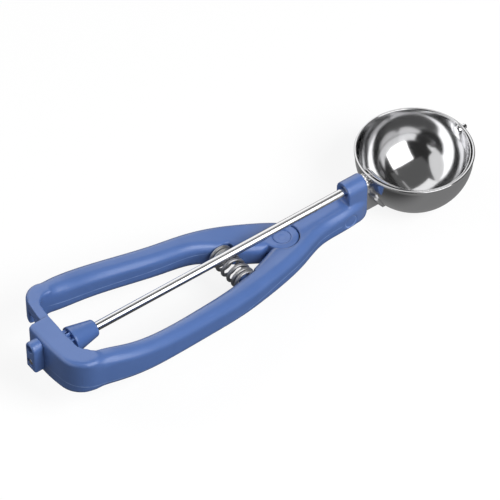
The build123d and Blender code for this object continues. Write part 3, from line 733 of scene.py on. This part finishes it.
@dataclass
class Handles:
    """The two moulded handles with their small blue parts.

    The spots are places that are smoothed more, as softened() reads them. The parting lines are given by
    their places along X and their heights. The plug is its X, its Z and its radius.
    """

    grain: float = 0.42
    small_grain: float = 0.2
    rounds: float = 2.0
    small_rounds: float = 3.0
    near_spots: tuple[tuple[float, ...], ...] = (
        (18.5, -26.5, -11.0, 8.0, 40.0),
        (20.0, -25.0, 2.5, 7.0, 40.0),
    )
    lever_spots: tuple[tuple[float, ...], ...] = (
        (25.5, 21.5, -3.0, 9.0, 60.0),
        (110.5, 8.5, -12.8, 4.0, 25.0),
    )
    near_line_x: tuple[float, ...] = (6.8, 22.0, 30.0, 40.7, 60.0, 80.0, 100.0, 130.0, 151.0, 158.0)
    near_line_z: tuple[float, ...] = (-9.0, -11.0, -11.7, -12.6, -14.6, -16.8, -18.6, -20.6, -20.6, -20.5)
    far_line_x: tuple[float, ...] = (25.4, 38.4, 58.1, 73.8, 92.6, 98.1)
    far_line_z: tuple[float, ...] = (-5.8, -8.0, -11.0, -12.4, -14.2, -14.5)
    plug: Triple = (165.9, -20.9, 3.1)
    button_radius: float = 3.95
    button_low: float = -16.3
    button_high: float = -15.1
    button_rim: float = 0.3
    button_dish: float = 0.16
    button_ring: float = 0.07
    ring_place: float = 0.45
    ring_width: float = 0.07

    def build(self, cad: Mapping[str, bpy.types.Object]) -> None:
        """Makes and dresses the plastic pieces.

        Args:
            cad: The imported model's nodes.
        """
        near = MouldedPlastic(
            "near_handle_nylon", parting_x=self.near_line_x, parting_z=self.near_line_z, plug=self.plug
        ).material()
        far = MouldedPlastic("lever_nylon", parting_x=self.far_line_x, parting_z=self.far_line_z).material()
        plain = MouldedPlastic("fitting_nylon", plug=self.plug).material()
        arm = softened(cad["main_handle"], "near_handle", self.grain, self.rounds, self.near_spots)
        mount(arm, Body.FRAME, "main_handle", near)
        lever = softened(cad["lever_handle"], "lever", self.grain, self.rounds, self.lever_spots)
        mount(lever, Body.LEVER, "lever_handle", far)
        cone = softened(cad["drive_pinion"], "pinion_cone", self.small_grain, self.small_rounds)
        mount(cone, Body.SHAFT, "drive_pinion", plain)
        cap = softened(cad["tail_cap"], "tail_cap_moulding", self.small_grain, self.small_rounds)
        mount(cap, Body.FRAME, "tail_cap", plain)
        mount(self.button(), Body.LEVER, "pivot_cap", plain)
        for name in ("rivet_plugs", "gear_rack"):
            paint(cad[name], plain)
        log.info("handles dressed")

    def button(self) -> bpy.types.Object:
        """The dished button over the pivot pin.

        Returns:
            The object: flat below, rounded rim, a shallow dish with a raised ring at half its radius. Its
            top is the rim's height less a cosine dish plus a narrow bell at the ring.
        """
        bend = self.button_rim
        out = np.linspace(self.button_radius - bend, 0.0, 24)
        share = out / self.button_radius
        dish = self.button_dish * (0.5 + 0.5 * np.cos(np.pi * share))
        ring = self.button_ring * np.exp(-(((share - self.ring_place) / self.ring_width) ** 2))
        top = np.stack([self.button_high - dish + ring, out], axis=-1)
        rim = arc((self.button_high - bend, self.button_radius - bend), bend, 90.0, 0.0, 6)
        side = [(self.button_low, 0.0), (self.button_low, self.button_radius)]
        return turned("pivot_button", np.vstack([side, rim, top]), (PIVOT_X, 0.0, 0.0), Axis.UP, 72)


@dataclass
class Drive:
    """The polished rod and the serrated collar in front of the head block."""

    rod_radius: float = 2.0
    rod_start: float = 0.1
    rod_end: float = 183.2
    dome_share: float = 0.8
    support_gap: float = 0.2
    support_loops: int = 24
    collar_radius: float = 3.3
    collar_start: float = 176.85
    collar_length: float = 2.1
    serrations: int = 11
    serration_depth: float = 0.75
    bead_power: float = 0.7
    corner_power: float = 0.35

    def build(self) -> None:
        """Makes the rod and the collar."""
        chrome = PolishedMetal("rod_chrome", mark_stretch=(12.0, 1.0, 1.0)).material()
        mount(self.rod(), Body.SHAFT, "drive_rod", chrome)
        mount(self.collar(), Body.SHAFT, "drive_collar", chrome)

    def rod(self) -> bpy.types.Object:
        """The rod with its domed ends: quarter circles of a share of the radius on a small flat.

        Returns:
            The object. Loops along its straight part keep the shading of the ends off the rod.
        """
        bend = self.rod_radius * self.dome_share
        flat = self.rod_radius - bend
        rear = arc((self.rod_start + bend, flat), bend, 180.0, 90.0, 10)
        front = arc((self.rod_end - bend, flat), bend, 90.0, 0.0, 10)
        inset = bend + self.support_gap
        along = np.linspace(self.rod_start + inset, self.rod_end - inset, self.support_loops)
        straight = np.stack([along, np.full_like(along, self.rod_radius)], axis=-1)
        ends = ([(self.rod_start, 0.0)], rear, straight, front, [(self.rod_end, 0.0)])
        return turned("centre_rod", np.vstack(ends), (0.0, 0.0, ROD_HEIGHT), Axis.ALONG, 72)

    def collar(self) -> bpy.types.Object:
        """The serrated collar.

        Returns:
            The object. Its outline round the rod is a ring of beads: the radius less the depth times one
            minus a root of the sine that crosses zero at each notch. The closed outline through its wall
            is a rounded box.
        """
        angle = np.linspace(0.0, 2.0 * np.pi, self.serrations * 16, endpoint=False)
        bead = np.abs(np.sin(self.serrations * angle / 2.0)) ** self.bead_power
        outer = self.collar_radius - self.serration_depth * (1.0 - bead)
        around = np.radians(np.linspace(0.0, 360.0, 28, endpoint=False))
        rise = 0.5 + 0.5 * squared(np.sin(around), self.corner_power)
        along = 0.5 + 0.5 * squared(np.cos(around), self.corner_power)
        along = self.collar_start + self.collar_length * along
        radius = self.rod_radius + rise[:, None] * (outer - self.rod_radius)
        along = np.repeat(along[:, None], len(angle), axis=1)
        points = np.stack([along, radius * np.cos(angle), radius * np.sin(angle)], axis=-1)
        points[..., 2] += ROD_HEIGHT
        return grid_object("serrated_collar", points * MM, wrap_rows=True, wrap_columns=True)


@dataclass
class Spring:
    """The compression spring between the handles.

    It runs along Y from near_y. closed is how far its end turns lie together, from 0 for an even pitch, and
    keep is the share of its length that is left when the lever is closed; keep is not used.
    """

    x: float = 104.9
    z: float = -16.5
    near_y: float = -10.6
    run: float = 19.15
    coil_radius: float = 4.85
    wire_radius: float = 0.82
    turns: float = 6.6
    closed: float = 0.42
    keep: float = 0.86

    def build(self) -> None:
        """Makes the spring."""
        steel = PolishedMetal("spring_steel", (0.38, 0.38, 0.39), (0.2, 0.2, 0.21), 0.03).material()
        coil = self.coil()
        mount(coil, Body.FRAME, "return_spring", steel)
        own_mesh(coil)

    def coil(self) -> bpy.types.Object:
        """The coil as a tube along a helix.

        Returns:
            The object. At turn t the wire's middle is at radius times (cos, sin) of t across Y and at a
            share of the run along Y. The share is a straight rise less a sine that closes the end turns
            up. The tube's section lies square to that line, and shrinks to a point at each end.
        """
        count = int(self.turns * 40)
        turn = np.linspace(0.0, 2.0 * np.pi * self.turns, count)
        share = turn / turn[-1]
        rise = share - self.closed * np.sin(2.0 * np.pi * share) / (2.0 * np.pi)
        line = np.stack(
            [
                self.x + self.coil_radius * np.cos(turn),
                self.near_y + self.run * rise,
                self.z + self.coil_radius * np.sin(turn),
            ],
            axis=-1,
        )
        ahead = np.gradient(line, axis=0)
        ahead /= np.linalg.norm(ahead, axis=1, keepdims=True)
        out = np.stack([np.cos(turn), np.zeros(count), np.sin(turn)], axis=-1)
        out -= (out * ahead).sum(axis=1, keepdims=True) * ahead
        out /= np.linalg.norm(out, axis=1, keepdims=True)
        side = np.cross(ahead, out)
        width = np.full(count, self.wire_radius)
        width[0] = width[-1] = 1e-6
        line[0], line[-1] = line[1], line[-2]
        around = np.linspace(0.0, 2.0 * np.pi, 16, endpoint=False)
        ring = np.cos(around)[None, :, None] * out[:, None] + np.sin(around)[None, :, None] * side[:, None]
        points = line[:, None] + ring * width[:, None, None]
        return grid_object("coil_spring", points * MM, wrap_columns=True)


@dataclass
class Bowl:
    """Bowl, scraper blade and the steel parts round them.

    Radii are taken from the bowl's centre. The band is the straight wall above it, and the lip rolls over
    that. The blade leans by its own angle from the rim down.
    """

    inner: float = 25.8
    outer: float = 26.6
    band: float = 2.5
    lip: float = 0.6
    lip_width: float = 1.2
    blade_inner: float = 24.7
    blade_outer: float = 25.5
    blade_half_width: float = 4.5
    ear_radius: float = 4.4
    lean: float = 7.0
    lip_roundness: float = 0.7
    under_lip: float = 0.12
    lip_step: float = 0.3
    rod_hole: float = 2.05
    pin_hole: float = 1.3
    hole_from: float = 20.0
    hole_to: float = 30.0
    blade_edge_power: float = 0.25
    blade_face_power: float = 0.5
    satin_nodes: tuple[str, ...] = (
        "bowl_tang",
        "pivot_pin",
        "pivot_washer",
        "pivot_retaining_ring",
        "rack_rivets",
        "tang_rivet",
    )
    mirror_nodes: tuple[str, ...] = ("scraper_washer", "front_pivot_pin")

    def build(self, cad: Mapping[str, bpy.types.Object]) -> None:
        """Makes and dresses the steel at the bowl.

        Args:
            cad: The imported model's nodes.
        """
        mount(self.shell(), Body.FRAME, "bowl", BowlSteel().material())
        mirror = PolishedMetal("blade_steel", roughness=0.002, wear=0.004).material()
        mount(self.blade(), Body.SHAFT, "scraper_blade", mirror)
        satin = SatinMetal("pressed_steel").material()
        for name in self.satin_nodes:
            paint(cad[name], satin)
        for name in self.mirror_nodes:
            paint(cad[name], mirror)
        log.info("steel dressed")

    def shell(self) -> bpy.types.Object:
        """The half-round bowl with its rolled lip.

        Returns:
            The object. The outline runs up the inner quarter circle and the band, over the lip as half a
            superellipse, back under it to the outer wall and down the outer quarter circle.
        """
        inside = arc((0.0, 0.0), self.inner, -90.0, 0.0, 64)
        outside = arc((0.0, 0.0), self.outer, 0.0, -90.0, 48)
        over = np.radians(np.linspace(180.0, 0.0, 19))
        middle = self.inner + self.lip_width / 2
        across = squared(np.cos(over), self.lip_roundness)
        rise = squared(np.sin(over), self.lip_roundness)
        foot = self.band - self.lip
        lip = np.stack([middle + self.lip_width / 2 * across, foot + self.lip * rise], axis=-1)
        under = [(self.outer + self.under_lip, foot - self.under_lip), (self.outer, foot - self.lip_step)]
        outline = np.vstack([inside, lip, under, outside])[:, ::-1]
        made = turned("bowl_shell", outline, (BOWL_X, 0.0, ROD_HEIGHT), Axis.UP, 256)
        rear = (BOWL_X - self.hole_to, BOWL_X - self.hole_from, self.rod_hole)
        front = (BOWL_X + self.hole_from, BOWL_X + self.hole_to, self.pin_hole)
        bored(made, (rear, front))
        return made

    def blade(self) -> bpy.types.Object:
        """The scraper blade: a strip of a sphere from pole to pole with a round ear past each pole.

        Returns:
            The object. Along the strip an angle runs from past one pole to past the other. Across it the
            strip is of even width up to the pole and narrows as a circle past it. The closed section is a
            box with rounded corners, laid on the sphere.
        """
        past = math.degrees(math.asin(self.ear_radius / self.blade_outer))
        sweep = np.sin(np.linspace(-np.pi / 2, np.pi / 2, 140))
        angle = np.radians(sweep * (90.0 + past))
        depth = self.blade_outer * np.cos(angle)
        beyond = np.clip(-depth / self.ear_radius, 0.0, 1.0)
        half = self.blade_half_width * np.sqrt(1.0 - beyond**2)
        around = np.radians(np.linspace(0.0, 360.0, 32, endpoint=False))
        across = squared(np.cos(around), self.blade_edge_power)
        through = squared(np.sin(around), self.blade_face_power)
        middle, wall = (self.blade_inner + self.blade_outer) / 2, self.blade_outer - self.blade_inner
        radius = middle + wall / 2 * through
        offset = half[:, None] * across
        flat = np.sqrt(radius**2 - offset**2)
        along, down = flat * np.sin(angle)[:, None], flat * np.cos(angle)[:, None]
        lean = math.radians(self.lean)
        toward = np.array([0.0, -math.cos(lean), -math.sin(lean)])
        square = np.array([0.0, -math.sin(lean), math.cos(lean)])
        points = down[..., None] * toward + offset[..., None] * square
        points[..., 0] += along
        return grid_object("blade_strip", (points + (BOWL_X, 0.0, ROD_HEIGHT)) * MM, wrap_columns=True)


# ---------------------------------------------------------------- studio


def grey(level: float) -> Triple:
    """A colour with three equal parts."""
    return (level, level, level)


@dataclass(frozen=True)
class SoftBox:
    """A bright field of the world that shows in metal.

    A direction is read as its angle about X, in degrees from straight up towards the near side, and as its
    X. Each is given as low, high and the width of the soft edge.
    """

    level: float
    tilt: Triple
    reach: Triple

    def shown(self, tilt: Signal, x: Signal) -> Signal:
        """The field's level inside it and 0 outside it.

        Args:
            tilt: The direction's angle about X.
            x: The direction's X.

        Returns:
            The level.
        """
        return tilt.within(*self.tilt) * x.within(*self.reach) * self.level


@dataclass(frozen=True)
class Lamp:
    """A square lamp aimed at the object: where it stands, its side in metres and its power in watts."""

    name: str
    place: Triple
    size: float
    power: float


@dataclass
class Studio:
    """Camera, floor, world and lamps.

    The floor's glints are the levels that a reflection meets: everywhere, added from bowl_edge on under the
    bowl, and added from far_edge on around the object. The strip is a thin light across the world with a
    break overhead, the card slants behind the tail, and the end lies beyond it on the near side.
    """

    azimuth: float = -36.8
    elevation: float = 46.68
    distance: float = 1.4
    aim: Triple = (0.1165, 0.0, -0.008)
    lens: float = 232.14
    shift: tuple[float, float] = (-0.0052, -0.01712)
    floor_gap: float = 0.0002
    floor_reach: float = 6.0
    floor_centre: float = 115.0
    floor_white: float = 0.95
    floor_dim: float = 0.2
    floor_plain_share: float = 0.86
    glint: float = 0.07
    bowl_glint: float = 0.17
    bowl_edge: tuple[float, float] = (160.0, 190.0)
    far_glint: float = 0.6
    far_edge: tuple[float, float] = (420.0, 470.0)
    ambient: float = 0.34
    near_box: SoftBox = SoftBox(2.4, (28.0, 100.0, 0.3), (-0.36, 0.44, 0.005))
    far_box: SoftBox = SoftBox(1.1, (-100.0, -26.0, 0.4), (-0.26, 0.62, 0.006))
    overhead: SoftBox = SoftBox(0.09, (-60.0, 24.0, 0.5), (-0.6, 0.6, 0.01))
    dark: float = 0.03
    strip_level: float = 0.5
    strip_reach: Triple = (0.385, 0.435, 0.006)
    strip_break: Triple = (0.0, 16.0, 1.0)
    card_level: float = 0.85
    card_place: float = 0.75
    card_slant: float = 0.00942
    card_edge: float = 0.004
    card_tilt: Triple = (-80.0, 9.0, 0.4)
    end_edge: tuple[float, float] = (-0.84, -0.86)
    end_tilt: Triple = (9.0, 100.0, 1.0)
    lamps: tuple[Lamp, ...] = (
        Lamp("key", (0.36, -0.84, 0.81), 0.6, 15.0),
        Lamp("fill", (-0.6, 0.75, 0.6), 0.8, 5.0),
    )

    def build(self) -> None:
        """Sets up the whole studio."""
        self.camera()
        self.floor()
        self.world()
        for lamp in self.lamps:
            self.light(lamp)
        bpy.context.scene.view_settings.view_transform = "Standard"
        log.info("studio built")

    def back(self) -> Vector:
        """Direction from the object to the camera."""
        a, e = math.radians(self.azimuth), math.radians(self.elevation)
        return Vector((math.sin(a) * math.cos(e), -math.cos(a) * math.cos(e), math.sin(e)))

    def camera(self) -> None:
        """Makes the camera."""
        data = bpy.data.cameras.new("camera")
        data.lens = self.lens
        data.sensor_width = 36.0
        data.shift_x, data.shift_y = self.shift
        data.clip_start, data.clip_end = 0.05, 50.0
        made = bpy.data.objects.new("camera", data)
        made.location = Vector(self.aim) + self.back() * self.distance
        made.rotation_mode = "QUATERNION"
        made.rotation_quaternion = (-self.back()).to_track_quat("-Z", "Y")
        bpy.context.scene.collection.objects.link(made)
        bpy.context.scene.camera = made

    def floor(self) -> None:
        """Makes the pale floor: white to the camera, dark to a reflection near the object."""
        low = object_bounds()[0]
        reach = np.linspace(-self.floor_reach, self.floor_reach, 3)
        x, y = np.meshgrid(reach, reach, indexing="ij")
        points = np.stack([x, y, np.full_like(x, low[2] - self.floor_gap)], axis=-1)
        made = grid_object("floor", points)
        material = bpy.data.materials.new("floor_white")
        material.use_nodes = True
        graph = Graph(material.node_tree)
        under_bowl = graph.x.step(*self.bowl_edge)
        far_off = (graph.x - self.floor_centre).beside(graph.y).step(*self.far_edge)
        level = self.glint + self.bowl_glint * under_bowl + self.far_glint * far_off
        lit = graph.node("ShaderNodeBsdfDiffuse", {}, {"Color": grey(self.floor_white)})
        dim = graph.node("ShaderNodeBsdfDiffuse", {}, {"Color": grey(self.floor_dim)})
        plain = graph.node("ShaderNodeEmission", {}, {"Color": grey(1.0), "Strength": 1.0})
        mirrored = graph.node("ShaderNodeEmission", {}, {"Color": grey(1.0), "Strength": level})
        seen = self.blend(graph, self.floor_plain_share, lit, plain)
        unseen = self.blend(graph, graph.ray("Is Glossy Ray"), dim, mirrored)
        mixed = self.blend(graph, graph.ray("Is Camera Ray"), unseen, seen)
        graph.node("ShaderNodeOutputMaterial", {}, {"Surface": mixed.outputs[0]})
        paint(made, material)
        made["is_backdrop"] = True

    def blend(
        self, graph: Graph, share: Any, first: bpy.types.Node, second: bpy.types.Node
    ) -> bpy.types.Node:
        """Adds a Mix Shader node.

        Args:
            graph: The tree that it goes into.
            share: How much of the second shader shows.
            first: Node whose first output is a shader.
            second: The same.

        Returns:
            The node.
        """
        return graph.node("ShaderNodeMixShader", {}, {0: share, 1: first.outputs[0], 2: second.outputs[0]})

    def world(self) -> None:
        """Makes the world: white to the camera, even soft light, and soft boxes with dark gaps in metal."""
        made = bpy.data.worlds.new("studio_world")
        made.use_nodes = True
        graph = Graph(made.node_tree, "Generated", 1.0)
        boxes = self.soft_boxes(graph)
        glossy, camera = graph.ray("Is Glossy Ray"), graph.ray("Is Camera Ray")
        level = camera + (1.0 - camera) * (glossy * boxes + (1.0 - glossy) * self.ambient)
        back = graph.node("ShaderNodeBackground", {}, {"Color": grey(1.0), "Strength": level})
        graph.node("ShaderNodeOutputWorld", {}, {"Surface": back.outputs[0]})
        bpy.context.scene.world = made

    def soft_boxes(self, graph: Graph) -> Signal:
        """The level that a reflection meets in each direction.

        Args:
            graph: The world's tree, whose place is the direction.

        Returns:
            The brightest of two soft boxes each side of a dark field overhead, a thin strip across, a
            slanting card behind the tail, the near side's far end, and the dark field itself.
        """
        x = graph.x
        tilt = (0.0 - graph.y).maths("ARCTAN2", 0.0 - graph.y, graph.z) * math.degrees(1.0)
        near, far = self.near_box.shown(tilt, x), self.far_box.shown(tilt, x)
        strip = x.within(*self.strip_reach) * (1.0 - tilt.within(*self.strip_break)) * self.strip_level
        slant = x + self.card_place - (self.card_tilt[1] - tilt) * self.card_slant
        card = slant.step(self.card_edge, -self.card_edge) * tilt.within(*self.card_tilt) * self.card_level
        end = x.step(*self.end_edge) * tilt.within(*self.end_tilt)
        gap = self.overhead.shown(tilt, x) + self.dark
        return near.most(far).most(strip).most(card).most(end).most(gap)

    def light(self, lamp: Lamp) -> None:
        """Makes one lamp, which reflections don't show.

        Args:
            lamp: The lamp.
        """
        data = bpy.data.lights.new(lamp.name, "AREA")
        data.size = lamp.size
        data.energy = lamp.power
        made = bpy.data.objects.new(lamp.name, data)
        made.location = lamp.place
        made.rotation_mode = "QUATERNION"
        made.rotation_quaternion = (Vector(self.aim) - Vector(lamp.place)).to_track_quat("-Z", "Y")
        made.visible_glossy = False
        bpy.context.scene.collection.objects.link(made)


def main() -> None:
    """Builds everything in order."""
    logging.basicConfig(level=logging.INFO, format="%(name)s: %(message)s")
    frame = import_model()
    Handles().build(frame["nodes"])
    Drive().build()
    Spring().build()
    Bowl().build(frame["nodes"])
    Studio().build()
    log.info("bounds written")


if __name__ == "__main__":
    main()
